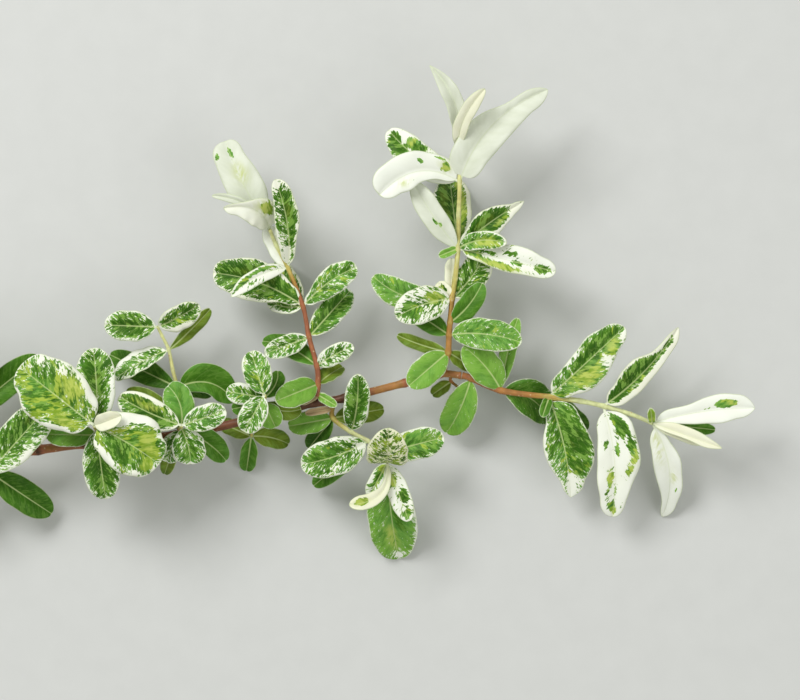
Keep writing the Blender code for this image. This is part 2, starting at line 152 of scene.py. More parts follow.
SHOOTS = [
    shoot("edge_upper_spray", -176, [(-175, -35, 17), (-174, -26.5, 20), (-172, -20, 22)], (2, 1.2),
          (0.75, 0.35, 0.6), [
        leaf(2, (-144.6, -2.6, 16), 12.5, "plain"),
        leaf(2, (-190, -10, 8), 12, "plain"),
        leaf(3, (-163, 6, 27), 11, "margined"),
        leaf(3, (-186, 2, 31), 10, "speckled", roll=-15),
    ]),
    shoot("edge_lower_spray", -166, [(-165.5, -48, 19), (-165, -50, 25)], (2, 1.4), (0.75, 0.35, 0.6), [
        leaf(2, (-139, -21, 27), 16.5, "speckled",
             dabs=[("white", 0.45, 0.85, 0.1, 0.2), ("dark", 0.6, -0.3, 0.25, 0.4)]),
        leaf(1, (-139.9, -65.8, 7), 13, "dark"),
        leaf(1, (-186, -66, 1), 13, "plain"),
        leaf(2, (-186, -60, 23), 13, "speckled"),
    ]),
    shoot("round_leaf_rosette", -120, [(-120.4, -34, 27), (-121, -31, 36), (-121.2, -30, 44)], (2.2, 1.4),
          (0.8, 0.2, 0.6), [
        leaf(3, (-151, -6.6, 45), 25, "marbled", fold=5, base=0.45, end=0.6, belly=0.5,
             left=(9, 11.8, 13, 12.5, 8.5), right=(9.5, 12.6, 13.5, 12.7, 10.3),
             dabs=[("white", 0.3, 0.92, 0.2, 0.2), ("white", 0.3, -0.95, 0.14, 0.14),
                   ("white", 0.6, 0.62, 0.05, 0.09), ("white", 0.42, 0.1, 0.03, 0.1),
                   ("lime", 0.42, 0.5, 0.12, 0.26), ("lime", 0.28, -0.5, 0.07, 0.2),
                   ("green", 0.62, -0.35, 0.18, 0.35), ("green", 0.55, 0.25, 0.1, 0.2),
                   ("white", 0.85, 0.75, 0.04, 0.08)]),
        leaf(3, (-95.6, -45.4, 42), 24.5, "marbled", fold=5, base=0.35, sweep=-3,
             left=(9, 11.4, 13, 13, 9), right=(8.8, 11, 11.8, 11.3, 9.4),
             dabs=[("white", 0.22, -0.75, 0.15, 0.3), ("white", 0.3, 0.9, 0.16, 0.2),
                   ("white", 0.5, -0.95, 0.2, 0.12), ("lime", 0.72, -0.35, 0.1, 0.22),
                   ("lime", 0.85, 0.4, 0.06, 0.2), ("dark", 0.45, 0.3, 0.14, 0.3),
                   ("white", 0.8, 0.85, 0.05, 0.14), ("green", 0.6, -0.1, 0.15, 0.3)]),
        leaf(3, (-110.4, -26, 50), 8, "cream", fold=30),
        leaf(2, (-122.2, 0.8, 36), 16.8, "speckled", sweep=3, lean=0.1,
             dabs=[("dark", 0.6, 0, 0.25, 0.45), ("white", 0.4, 0.9, 0.2, 0.15)]),
        leaf(2, (-117.4, -59.4, 28), 14.5, "speckled", dabs=[("dark", 0.6, 0, 0.3, 0.5)]),
        leaf(1, (-141.6, -33.6, 24), 10, "bluish"),
        leaf(1, (-100, -37, 24), 10, "plain"),
    ]),
    shoot("small_upright_spray", -83, [
        (-85.6, -24, 21), (-88.8, -15, 22), (-90.8, -8, 22.5),
        (-92.4, 0, 23), (-95, 5.6, 24), (-96.8, 9.2, 25)], (1.8, 1.2), (0.25, 0.1, 0.5), [
        leaf(6, (-118, 10, 26), 12.5, "speckled", dabs=[("dark", 0.55, 0, 0.3, 0.5)]),
        leaf(6, (-80, 18, 32), 11, "margined", roll=25, dabs=[("white", 0.4, 0.8, 0.3, 0.25)]),
        leaf(4, (-75.8, 16.4, 20), 5.8, "olive", roll=20, belly=0.6),
        leaf(4, (-114, -11.6, 24), 12, "speckled", roll=45, dabs=[("white", 0.5, 0.8, 0.4, 0.2)]),
        leaf(2, (-66, -20.8, 21), 12.4, "plain", sweep=-21, base=0.45, lean=0.3),
        leaf(2, (-116.6, -1.8, 8), 10.4, "dark"),
        leaf(2, (-75, -16.6, 8), 7, "dark"),
    ]),
    shoot("left_rosette", -88.5, [(-88, -32, 25), (-87.4, -31, 31), (-86.8, -30, 37)], (2.0, 1.4),
          (0.6, 0.2, 0.6), [
        leaf(3, (-111.8, -18.4, 36), 12.5, "margined", sweep=-3,
             dabs=[("white", 0.6, 0.9, 0.3, 0.16), ("lime", 0.6, 0.35, 0.2, 0.25),
                   ("dark", 0.4, -0.4, 0.2, 0.35)]),
        leaf(3, (-69.2, -24, 37), 10.5, "speckled"),
        leaf(2.3, (-92.6, -14.2, 31), 12, "bluish", sweep=14, end=0.4, tone=0.6),
        leaf(2.3, (-83.6, -45.6, 28), 13.5, "speckled", sweep=-6, dabs=[("green", 0.8, 0.1, 0.2, 0.5)]),
        leaf(1.3, (-69.6, -44.4, 16), 9.8, "plain", sweep=-7, lean=0.15),
        leaf(1.3, (-93.6, -44.8, 18), 9, "speckled"),
        leaf(1, (-94.6, -50, 8), 6.2, "olive"),
        leaf(1, (-109.6, -16.6, 24), 10, "olive", sweep=7),
    ]),
    shoot("middle_rosette", -54.5, [(-54.2, -21, 28), (-54, -19, 33), (-54, -18, 38)], (2.0, 1.4),
          (0.7, 0.2, 0.6), [
        leaf(3, (-59.2, -0.4, 38), 11.5, "dappled"),
        leaf(3, (-62, -32.6, 37), 11, "speckled"),
        leaf(2, (-69.2, -16.4, 33), 9, "dappled", dabs=[("white", 0.6, 0.9, 0.2, 0.2)]),
        leaf(2, (-48.8, -8.2, 26), 6.5, "dark", sweep=12),
        leaf(1, (-67.2, -23.6, 24), 7, "plain"),
        leaf(1, (-39.4, -23.6, 24.5), 7.5, "olive", sweep=12, roll=10),
        leaf(1, (-49.6, -31, 28), 9.5, "light"),
    ]),
    shoot("low_spray", -59, [(-59.3, -31.4, 16), (-59.6, -34.6, 12)], (1.6, 1.0), (0.7, 0.2, 0.6), [
        leaf(2, (-72.4, -29, 8), 7, "olive"),
        leaf(2, (-44.6, -37.8, 8), 8.2, "olive", sweep=-7),
        leaf(2, (-61.8, -48.8, 0.6), 7.2, "plain"),
    ]),
    shoot("inner_shoot", -33.5, [
        (-32.8, -13.6, 22), (-33.2, -6.4, 23), (-36.4, 5.2, 23), (-38.8, 17.6, 23),
        (-44.8, 32.8, 24), (-49.5, 42, 25), (-52, 48, 26)], (2.4, 1.4), (0.76, 0.12, 0.68), [
        leaf(1, (-49.6, -20.4, 33), 11, "light"),
        leaf(1, (-22.8, -6.6, 18), 9, "olive", roll=-40),
        leaf(0.3, (-25.2, -22.4, 25), 4, "light"),
        leaf(0.3, (-40.4, -21.2, 26), 4.5, "scale", fold=30),
        leaf(2, (-55.2, 3.6, 15), 9.5, "plain", sweep=6, roll=25),
        leaf(2, (-18.4, 1.4, 28), 8, "speckled", sweep=-4, white=0.12),
        leaf(3, (-54, -1.6, 26), 8.5, "speckled"),
        leaf(3, (-19.8, 24, 14), 11.2, "dappled", dabs=[("dark", 0.5, 0, 0.3, 0.5)]),
        leaf(4, (-74.8, 30.8, 20), 16.5, "margined", sweep=7,
             left=(3.4, 6.6, 8.2, 8.4, 6.6), right=(5, 7.8, 8.8, 8.4, 6.4),
             dabs=[("dark", 0.55, 0.2, 0.25, 0.4), ("white", 0.5, -0.95, 0.3, 0.12),
                   ("green", 0.3, 0.5, 0.2, 0.4)]),
        leaf(4, (-17.2, 33.2, 26), 11.5, "dappled", sweep=-6,
             left=(2, 3.6, 5, 5.6, 4.6), right=(3.6, 5.4, 6, 5.9, 4.6)),
        leaf(4, (-53, 20, 14), 6, "margined", sweep=-9),
        leaf(4, (-51.2, 34.8, 1), 11.2, "margined"),
        leaf(5, (-67.2, 21.2, 34), 6.5, "pale", sweep=9, white=0.85, end=0.7,
             dabs=[("green", 0.5, 0.55, 0.25, 0.16), ("green", 0.8, 0.3, 0.12, 0.2)]),
        leaf(5, (-49.6, 67.8, 38), 11, "flecked", sweep=6, fold=18,
             left=(3.7, 5, 5.1, 4.4, 3.3), right=(2.6, 3.4, 5.2, 5.6, 5),
             dabs=[("white", 0.95, -0.1, 0.04, 0.4), ("white", 0.15, -0.2, 0.08, 0.35),
                   ("dark", 0.6, 0.3, 0.2, 0.3)]),
        leaf(5, (-53.6, 49.6, 22), 7.6, "bright", fold=5, bow=4, base=0.35),
        leaf(7, (-69.8, 83.4, 26), 17, "white", sweep=-3, end=0.35,
             left=(3.5, 6, 7.6, 7.3, 7), right=(5, 7.4, 7.8, 6.8, 5.4),
             dabs=[("dark", 0.88, 0.06, 0.06, 0.14), ("dark", 0.87, -0.78, 0.035, 0.14),
                   ("faint", 0.65, 0.12, 0.09, 0.32)]),
        leaf(7, (-69.6, 56, 40), 10, "cream", sweep=20, tone=0.45, fold=15, curl=0.3,
             left=(5.2, 6.2, 6.2, 5.2, 3.4), right=(6.5, 7, 5, 2.5, 1.5),
             dabs=[("lime", 0.34, 0.45, 0.09, 0.22), ("faint", 0.36, 0.45, 0.14, 0.4)]),
        leaf(7, (-74.8, 61.4, 34), 3.5, "white", sweep=14, bow=12),
    ]),
    shoot("tall_shoot", 17, [
        (19.2, -0.8, 24), (19.6, 6, 24.5), (20, 11, 25), (20.8, 20.4, 25), (22, 28.8, 25),
        (23.2, 40.6, 25), (23.4, 54, 26), (23.8, 67, 27), (23.2, 80, 29)], (2.6, 1.6), (0.52, 0.2, 0.5), [
        leaf(1, (3.4, -14.4, 28), 11.8, "light"),
        leaf(1, (-1.2, 6, 18), 5.6, "olive", sweep=-3),
        leaf(1, (29.2, -7, 18), 6.5, "olive"),
        leaf(2, (48.4, 3, 34), 13, "sprinkled", sweep=-6),
        leaf(2, (4.8, 16, 18), 9, "plain"),
        leaf(3, (32.8, 26.8, 27), 9, "plain", sweep=7),
        leaf(4, (-1.6, 13, 32), 14.5, "streaked", sweep=6, white=0.7,
             dabs=[("green", 0.74, -0.1, 0.13, 0.4), ("lime", 0.28, 0.2, 0.13, 0.35)]),
        leaf(4, (-10.8, 29.6, 24), 12, "sprinkled", sweep=-13),
        leaf(4, (34, 38, 16), 12.5, "margined", side=0.8, sweep=4),
        leaf(4, (20.9, 36.8, 16), 6.2, "cream"),
        leaf(4, (14.8, 26.8, 24), 6, "cream", dabs=[("green", 0.6, 0, 0.2, 0.5)]),
        leaf(6, (5.2, 67, 31), 9.8, "white", sweep=-3,
             dabs=[("dark", 0.44, -0.2, 0.05, 0.12), ("dark", 0.38, 0.05, 0.04, 0.12)]),
        leaf(6, (20, 68.8, 1), 15.2, "margined",
             dabs=[("dark", 0.5, -0.5, 0.4, 0.5), ("white", 0.5, 0.9, 0.4, 0.2),
                   ("lime", 0.5, 0.5, 0.3, 0.2)]),
        leaf(6, (49.6, 59.4, 27), 10.5, "margined", sweep=-3, end=1.0, twist=25,
             left=(3.2, 5.4, 6, 4.6, 1.8), right=(3.5, 6, 5.6, 4.2, 2.4),
             dabs=[("white", 0.88, 0.3, 0.1, 0.9), ("white", 0.55, 0.95, 0.3, 0.18),
                   ("dark", 0.45, -0.3, 0.2, 0.4), ("lime", 0.62, 0.3, 0.08, 0.2)]),
        leaf(6, (62, 31.2, 31), 13, "pale", white=0.88, ripple=2,
             left=(3, 4.5, 6.4, 6.5, 4.6), right=(3.2, 4.2, 4.9, 4.4, 4.3),
             dabs=[("green", 0.1, 0, 0.1, 0.9), ("lime", 0.42, 0.75, 0.25, 0.3),
                   ("dark", 0.33, -0.3, 0.04, 0.12), ("dark", 0.55, -0.4, 0.03, 0.12),
                   ("dark", 0.62, 0.1, 0.04, 0.14), ("dark", 0.88, 0.1, 0.06, 0.3)]),
        leaf(6, (42.4, 42.6, 35), 7.5, "dappled", sweep=-10, dabs=[("lime", 0.6, 0.2, 0.2, 0.4)]),
        leaf(6, (15.4, 37.4, 27), 3.8, "light"),
        leaf(8, (-8.2, 61.6, 38), 17, "bright", sweep=20, end=0.4,
             left=(2.8, 3.8, 5, 6.4, 5.2), right=(6.4, 7.2, 8.6, 8.8, 8.4),
             dabs=[("lime", 0.2, 0.45, 0.06, 0.3), ("green", 0.47, 0.5, 0.03, 0.14),
                   ("faint", 0.72, -0.4, 0.06, 0.2), ("green", 0.28, 0.85, 0.06, 0.1)]),
        leaf(8, (58.8, 103.6, 35), 15, "white", sweep=-12, end=0.7, base=0.3, fold=16,
             left=(7.9, 8.1, 6.4, 3.2, 3.4), right=(7.4, 8.4, 8.4, 7.4, 5.6)),
        leaf(8, (-4.6, 88, 20), 12.8, "pale", sweep=-6, white=0.9,
             dabs=[("dark", 0.89, 0.1, 0.05, 0.35), ("dark", 0.84, -0.55, 0.05, 0.25),
                   ("dark", 0.74, -0.3, 0.06, 0.35), ("lime", 0.69, 0.5, 0.05, 0.3),
                   ("dark", 0.58, 0.6, 0.06, 0.25)]),
        leaf(9, (11.8, 113.2, 36), 8.8, "white", sweep=13, end=1.0, fold=35),
        leaf(9, (33.6, 103.4, 47), 6.4, "cream", sweep=-9, fold=12),
    ]),
    shoot("fork_spray", 20, [(20.5, -12.6, 17), (24.4, -15.6, 14)], (1.4, 1.0), (0.6, 0.3, 0.6), [
        leaf(1, (12.8, -18, 12), 5.4, "olive"),
        leaf(2, (24, -24, 6), 6, "plain"),
    ]),
    shoot("right_shoot", None, [
        (24.8, -10.2, 20), (28.4, -11.2, 20.2), (40.4, -16.2, 21), (59.6, -18.8, 22),
        (72, -20.4, 22.4), (81.2, -22.4, 22.6), (92, -25.6, 22.6), (100.8, -29.2, 22)], (2.8, 1.6),
          (0.66, 0.0, 0.46), [
        leaf(1, (18.6, -33.4, 8), 13, "light", sweep=-4),
        leaf(2, (25.2, 1.6, 26), 13.5, "light", sweep=6),
        leaf(2, (47.2, 12.8, 19), 7, "light", sweep=-3, base=0.9),
        leaf(2, (60, -28.6, 5), 15, "light", sweep=-12, roll=-12, tone=0.45),
        leaf(3, (89.6, 9.2, 28), 16, "dappled", end=0.6,
             left=(4.6, 5.4, 6.4, 7.6, 5.8), right=(6.2, 9.4, 9.7, 7.6, 4.8),
             dabs=[("white", 0.66, 0.65, 0.05, 0.4), ("white", 0.28, 0.95, 0.14, 0.16),
                   ("white", 0.36, 0.5, 0.04, 0.18), ("white", 0.48, -0.75, 0.1, 0.14),
                   ("white", 0.93, 0.6, 0.05, 0.3), ("lime", 0.42, 0.45, 0.16, 0.35),
                   ("lime", 0.8, 0.35, 0.07, 0.35), ("dark", 0.6, -0.4, 0.2, 0.4)]),
        leaf(3, (68.4, -59.2, 14), 21, "dappled", sweep=-4, end=1.0,
             left=(9, 10.6, 12, 10.6, 5.9), right=(4.4, 7.7, 8.4, 6.9, 3.3),
             dabs=[("white", 0.92, -0.1, 0.08, 0.6), ("white", 0.8, -0.2, 0.05, 0.3),
                   ("lime", 0.72, -0.4, 0.04, 0.2), ("dark", 0.4, -0.5, 0.25, 0.4),
                   ("white", 0.45, 0.98, 0.3, 0.1)]),
        leaf(3, (75, -32.4, 8), 9, "dark"),
        leaf(3, (56.8, -26.8, 26), 4.5, "plain"),
        leaf(5, (111, 9, 32), 11, "margined", sweep=5, twist=25, end=0.8,
             left=(4.2, 6.8, 7, 3.4, 2.2), right=(4.5, 4.7, 4.2, 3.7, 3.2),
             dabs=[("green", 0.3, -0.5, 0.3, 0.6), ("dark", 0.35, -0.5, 0.2, 0.4),
                   ("white", 0.35, 0.8, 0.35, 0.35), ("white", 0.75, 0.75, 0.2, 0.35),
                   ("white", 0.78, -0.7, 0.12, 0.35), ("white", 0.97, 0, 0.05, 0.8)]),
        leaf(5, (85, -66.8, 14), 18.5, "pale", sweep=-6, end=0.5, white=0.97,
             left=(9.6, 10.4, 10.3, 7, 4.6), right=(5.2, 6.6, 7.3, 7.4, 6),
             dabs=[("green", 0.13, -0.4, 0.06, 0.2), ("dark", 0.23, -0.55, 0.06, 0.2),
                   ("dark", 0.36, -0.72, 0.035, 0.15), ("lime", 0.46, -0.8, 0.05, 0.14),
                   ("lime", 0.57, -0.6, 0.045, 0.13), ("green", 0.38, -0.15, 0.07, 0.06),
                   ("dark", 0.32, 0.4, 0.025, 0.1), ("dark", 0.39, 0.5, 0.02, 0.08),
                   ("lime", 0.62, 0.25, 0.045, 0.16), ("green", 0.7, 0.35, 0.03, 0.12),
                   ("green", 0.75, -0.05, 0.045, 0.1), ("dark", 0.79, 0.55, 0.025, 0.1),
                   ("dark", 0.88, -0.6, 0.03, 0.1), ("green", 0.89, 0.2, 0.045, 0.28),
                   ("lime", 0.95, -0.1, 0.03, 0.2)]),
        leaf(7, (105.4, -67.2, 0.8), 11.5, "bright", sweep=-11, end=0.8,
             left=(3.2, 5.2, 5, 5, 3.8), right=(5, 6.2, 6, 4.2, 2.2),
             dabs=[("faint", 0.2, 0.4, 0.14, 0.3), ("green", 0.68, -0.5, 0.04, 0.12),
                   ("faint", 0.55, -0.3, 0.05, 0.2)]),
        leaf(7, (141.6, -23.2, 28), 13, "bright", sweep=-4, end=0.8,
             left=(3.6, 3.7, 5.3, 6.4, 5.8), right=(2.9, 4.2, 5.2, 5.7, 4.1),
             dabs=[("green", 0.72, -0.4, 0.09, 0.24), ("dark", 0.68, -0.25, 0.04, 0.1),
                   ("lime", 0.78, -0.42, 0.05, 0.14), ("green", 0.55, -0.2, 0.04, 0.06)]),
        leaf(7, (128.4, -39.2, 28), 5, "cream", end=0.8, lean=0.4),
        leaf(7, (126.4, -32, 15), 6, "plain", base=0.8),
        leaf(7, (121.2, -37.6, 21), 4.5, "cream", dabs=[("green", 0.5, 0, 0.2, 0.3)]),
        leaf(7, (100, -23.6, 29), 3.5, "lime", curl=0.4),
    ]),
    shoot("front_shoot", -27, [
        (-26.8, -27.2, 17), (-19.6, -32.8, 18), (-12.8, -36.4, 19), (-6, -41, 21),
        (-5.2, -45, 22)], (2.2, 1.4), (0.4, 0.1, 0.3), [
        leaf(1, (-44.8, -30.6, 14), 9.5, "light"),
        leaf(1, (-6.4, -23.6, 14), 9, "olive"),
        leaf(1, (-36.8, -39.6, 6), 8, "dark"),
        leaf(0.3, (-38, -25.4, 21), 3.5, "scale", fold=30),
        leaf(2, (-16.8, -9.6, 31), 10.5, "speckled", sweep=4, dabs=[("dark", 0.6, 0, 0.3, 0.5)]),
        leaf(3, (-39.7, -45.8, 20), 15.5, "speckled", sweep=-5,
             dabs=[("green", 0.7, 0.3, 0.25, 0.4), ("white", 0.12, 0, 0.08, 0.4),
                   ("white", 0.4, 0.9, 0.25, 0.12)]),
        leaf(3, (-34.8, -54.6, 6), 8.8, "plain"),
        leaf(5, (-4.4, -31, 44), 17, "fan", bow=15),
        leaf(4, (17.6, -34.8, 24), 13, "dappled", dabs=[("green", 0.5, 0, 0.3, 0.5)]),
        leaf(5, (-20.2, -61.6, 34), 6.4, "cream", sweep=-25,
             left=(1.4, 1.9, 2.4, 3, 3.2), right=(1.4, 1.9, 2.4, 3, 3.2),
             dabs=[("lime", 0.84, 0.1, 0.09, 0.45)]),
        leaf(5, (-0.4, -84, 0.8), 19.6, "bluish", sweep=2, speck=0.14,
             dabs=[("white", 0.72, -0.97, 0.25, 0.13), ("lime", 0.66, 0.12, 0.06, 0.22),
                   ("white", 0.95, 0, 0.05, 0.5), ("white", 0.35, -0.92, 0.2, 0.1),
                   ("faint", 0.78, 0.05, 0.08, 0.2), ("dark", 0.45, -0.3, 0.2, 0.3)]),
        leaf(5, (3.6, -68.4, 24), 9, "pale", white=0.9,
             dabs=[("dark", 0.58, -0.4, 0.08, 0.3), ("lime", 0.3, 0.1, 0.08, 0.3),
                   ("green", 0.9, 0, 0.06, 0.4)]),
        leaf(5, (-12.4, -58.8, 20), 7, "pale",
             dabs=[("dark", 0.4, 0.1, 0.2, 0.3), ("lime", 0.2, 0, 0.1, 0.4)]),
    ]),
]


def along(route, place):
    """The point at `place` on the smooth curve through a route, counted in its points."""
    i = min(int(place), len(route) - 2)
    t = place - i
    a, b = route[i], route[i + 1]
    before = route[i - 1] if i else 2 * a - b
    after = route[i + 2] if i + 2 < len(route) else 2 * b - a
    return 0.5 * (2 * a + (b - before) * t + (2 * before - 5 * a + 4 * b - after) * t**2
                  + (3 * a - before - 3 * b + after) * t**3)


def place_at_x(route, x):
    """The place on a route that runs to the right where it has reached `x`."""
    halvings = 40
    low, high = 0.0, len(route) - 1.0
    for _ in range(halvings):
        middle = (low + high) / 2
        low, high = (middle, high) if along(route, middle).x < x else (low, middle)
    return low


def thickness(route, place, thick):
    """A stem's thickness at a place: it tapers evenly, and swells a little at its nodes."""
    base, tip = thick
    share = place / (len(route) - 1)
    near_node = max(0.0, 1 - abs(place - round(place)) / NODE_REACH)
    return (base + (tip - base) * share) * (1 + NODE_SWELL * near_node)


def route_of(spec):
    """A shoot's route, its foot GAP clear of the main stem's bark."""
    via = [Vector(point) for point in spec["via"]]
    if spec["foot"] is None:
        return via
    stem = [Vector(point) for point in STEM_ROUTE]
    place = place_at_x(stem, spec["foot"])
    middle = along(stem, place)
    clear = thickness(stem, place, STEM_THICK) / 2 + GAP
    return [middle + (via[0] - middle).normalized() * clear] + via


def half_width(spec, u):
    """Half a blade's width at the share `u` of its length, down to its stalk's at the foot."""
    even = u ** (math.log(0.5) / math.log(spec["belly"]))
    bulge = max(0.0, 4 * even * (1 - even))
    blade = spec["width"] / 2 * bulge ** (spec["base"] if even < 0.5 else spec["end"])
    return min(blade + STALK_WIDTH / 2 * (1 - STALK_TAPER * u), spec["width"] / 2)


def drawn_half(widths, u, base, end):
    """Half a width from a leaf's own measures at the sixths of its blade, round at the ends."""
    parts = len(widths) + 1
    half = along(widths, min(max(u * parts - 1, 0.0), len(widths) - 1.0))
    for reached, power in ((u, base), (1 - u, end)):
        half *= (1 - (1 - min(1, reached * parts)) ** 2) ** power
    return half


def row_place(row):
    """Where a row of points lies along a leaf: the stalk's rows, then rows closer at both ends."""
    if row <= STALK_ROWS:
        return STALK_SHARE * row / STALK_ROWS
    share = (row - STALK_ROWS) / (BLADE_ROWS - STALK_ROWS)
    return STALK_SHARE + (1 - STALK_SHARE) * (1 - math.cos(math.pi * share)) / 2


def blade_share(t):
    """The share of the blade's length reached at `t` along the whole leaf."""
    return max(0.0, (t - STALK_SHARE) / (1 - STALK_SHARE))


def local_half(spec, t, s):
    """The half width towards one edge, with that half's lean and the outline's small waves."""
    u = blade_share(t)
    if u == 0:
        return half_width(spec, u)
    right = s > 0
    own = spec["right"] if right else spec["left"]
    if own:
        half = max(drawn_half(own, u, spec["base"], spec["end"]), STALK_WIDTH / 2 * (1 - u))
        wave = noise.noise(Vector((u * DRAWN_WAVES, 2.0 * right, spec["seed"])))
        return half * (1 + DRAWN_WAVE * wave)
    wave = noise.noise(Vector((u * OUTLINE_WAVES, 2.0 * right, spec["seed"])))
    lean = -spec["lean"] if right else spec["lean"]
    swing = math.sin(math.pi * min(1, u * 1.2 + 0.02))
    return half_width(spec, u) * (1 + (lean + OUTLINE_WAVE * spec["ripple"] * wave) * swing)


def blade_point(spec, root, t, s, under):
    """The place on a leaf at `t` along it and `s` across, on its upper or its under side."""
    chord = Vector(spec["tip"]) - root
    length = chord.length
    ahead = chord / length
    up = (Vector((0, 0, 1)) - ahead * ahead.z).normalized()
    up = Matrix.Rotation(math.radians(spec["roll"]), 3, ahead) @ up
    side = ahead.cross(up)
    lift = (up * spec["bow"] + side * spec["sweep"]) / 100
    middle = root + chord * t + lift * length * 4 * t * (1 - t)
    forward = (chord + lift * length * 4 * (1 - 2 * t)).normalized()
    face = (up - forward * up.dot(forward)).normalized()
    face = Matrix.Rotation(math.radians(spec["twist"] * t), 3, forward) @ face
    across = forward.cross(face)
    half = local_half(spec, t, s)
    fold = math.radians(spec["fold"])
    point = middle + half * (across * s * math.cos(fold) + face * abs(s) * math.sin(fold))

    u = blade_share(t)
    out = abs(s) * half
    wave = math.sin(2 * math.pi * (u * EDGE_WAVES + EDGE_STAGGER * (s > 0)) + spec["seed"])
    vein = math.cos(2 * math.pi * (t * length - VEIN_SLANT * out) / VEIN_PITCH)
    relief = HALF_CROWN * half * 4 * abs(s) * (1 - abs(s))
    relief += spec["ripple"] * EDGE_LIFT * half * wave * s * s
    relief += VEIN_RISE * vein * math.sin(math.pi * min(1, abs(s) * 1.1))
    relief -= RIB_DEPTH * math.exp(-((out / RIB_REACH) ** 2))
    rise = relief * min(1, u * RELIEF_SLOPE) - spec["curl"] * length * max(0.0, u - CURL_START) ** 2
    depth = LEAF_THICK + KEEL_DEPTH * (1 - u) * math.exp(-((out / KEEL_REACH) ** 2))
    return point + face * (rise - depth * under)


def dabbed(spec, t, s):
    """What a leaf's dabs add up to at one place: white, yellow-green and light green."""
    fall = 0.8  # how fast a dab fades, at its reach
    total = Vector((0, 0, 0))
    for kind, along_leaf, across, long, wide in spec["dabs"]:
        away = ((t - along_leaf) / long) ** 2 + ((s - across) / wide) ** 2
        total += Vector(DABS[kind]) * math.exp(-fall * away)
    return total


def share_cut(share, spread):
    """The level that a noise pattern passes on `share` of the leaf."""
    least, most = 0.0005, 0.999
    return 0.5 - spread * NormalDist().inv_cdf(min(most, max(least, share)))


def to_metres(point):
    """A place in mm as a place in the scene."""
    return (point - FOOTPRINT_MIDDLE) * MM


# What each point of a leaf carries for the material, three values to a layer.
LEAF_LAYERS = (
    "share",  # along the leaf, across it, and 1 on the underside
    "place",  # along, across and in from the edge, in mm
    "pattern",  # the levels that white, flecks and yellow-green have to pass
    "lie",  # more white on the right half, finely broken white, and the white margin in mm
    "tone",  # the green, the leaf's own chance number, and how patchy it is
    "dabs",  # what the dabs add to white, yellow-green and light green
)
PATCH_SPREAD, FLECK_SPREAD = 0.085, 0.12  # how far the patterns' noise strays from its middle


def add_leaf(mesh, spec, root, block):
    """Adds one leaf to a piece: a grid drawn out to the leaf's shape, then given its thickness."""
    float_layers = mesh.verts.layers.float_vector
    layers = {name: float_layers.get(name) or float_layers.new(name) for name in LEAF_LAYERS}
    bake = mesh.loops.layers.uv.get("OFBake") or mesh.loops.layers.uv.new("OFBake")
    length = (Vector(spec["tip"]) - root).length
    marks = spec["marks"]

    old = set(mesh.faces)
    verts = bmesh.ops.create_grid(mesh, x_segments=BLADE_COLUMNS, y_segments=BLADE_ROWS, size=0.5)["verts"]
    for vert in verts:
        row = round((vert.co.y + 0.5) * BLADE_ROWS)
        vert[layers["share"]] = (row_place(row), 2 * vert.co.x, 0)
    upper = [face for face in mesh.faces if face not in old]
    grown = bmesh.ops.extrude_face_region(mesh, geom=upper)["geom"]
    lower = [item for item in grown if isinstance(item, bmesh.types.BMVert)]
    for vert in lower:
        t, s, _ = vert[layers["share"]]
        vert[layers["share"]] = (t, s, 1)
    for vert in verts + lower:
        t, s, under = vert[layers["share"]]
        half = local_half(spec, t, s)
        edge = min(half * (1 - abs(s)), 0.8 * (1 - t) * length)
        vert.co = to_metres(blade_point(spec, root, t, s, under))
        vert[layers["place"]] = (t * length, s * half, edge)
        vert[layers["pattern"]] = (share_cut(marks.get("white", 0), PATCH_SPREAD),
                                   share_cut(marks.get("speck", 0), FLECK_SPREAD),
                                   share_cut(marks.get("yellow", 0), FLECK_SPREAD))
        vert[layers["lie"]] = (spec["side"], marks.get("fine", 0.0), marks.get("margin", 0.0))
        vert[layers["tone"]] = (marks["tone"], spec["seed"], marks.get("patchy", 0.0))
        vert[layers["dabs"]] = dabbed(spec, t, s)

    faces = [face for face in mesh.faces if face not in old]
    bmesh.ops.recalc_face_normals(mesh, faces=faces)
    lay_out(faces, layers["share"], bake, block)


def lay_out(faces, share, bake, block):
    """Lays a leaf flat in its block of the piece's UV map, its upper side below its under side.

    The two sides stay a seam apart, and the thin faces of the edge lie on a rim round each.
    """
    low, high = block
    seam, side_margin = 0.012, 0.02
    rim = seam / 2
    middle = (low + high) / 2
    tall = (high - low) / 2 - 1.5 * seam
    for face in faces:
        face.smooth = True
        shares = [loop.vert[share] for loop in face.loops]
        on_rim = len({under for _, _, under in shares}) == 2
        far_edge = on_rim and all(s == shares[0][1] for _, s, _ in shares)
        end_edge = on_rim and not far_edge
        for loop, (t, s, under) in zip(face.loops, shares):
            u = side_margin + (1 - 2 * side_margin) * t
            v = low + seam + (s + 1) / 2 * tall
            if not on_rim and under:
                v = middle + rim + (1 - s) / 2 * tall
            if far_edge and under:
                v += rim if s > 0 else -rim
            if end_edge and under:
                u += rim if t > 0.5 else -rim
            loop[bake].uv = (u, v)


def placed(mesh, name, material):
    """Turns a finished bmesh into an object of one material."""
    data = bpy.data.meshes.new(name)
    mesh.to_mesh(data)
    mesh.free()
    data.materials.append(material)
    made = bpy.data.objects.new(name, data)
    bpy.context.scene.collection.objects.link(made)
    return made


def finish_piece(mesh, name, material, node):
    """Makes a piece that rides on the branch and stands for its solid."""
    piece = placed(mesh, name, material)
    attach(piece, "root")
    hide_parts(node)


BARK_GRAIN = 0.35  # how often a stem's relief changes, for each mm along it
OLD_AGE = 0.6  # past which bark grows rough
RING_RISE, RING_SHARPNESS = 1.6, 1.25  # the ring at each node, in reliefs and in rows


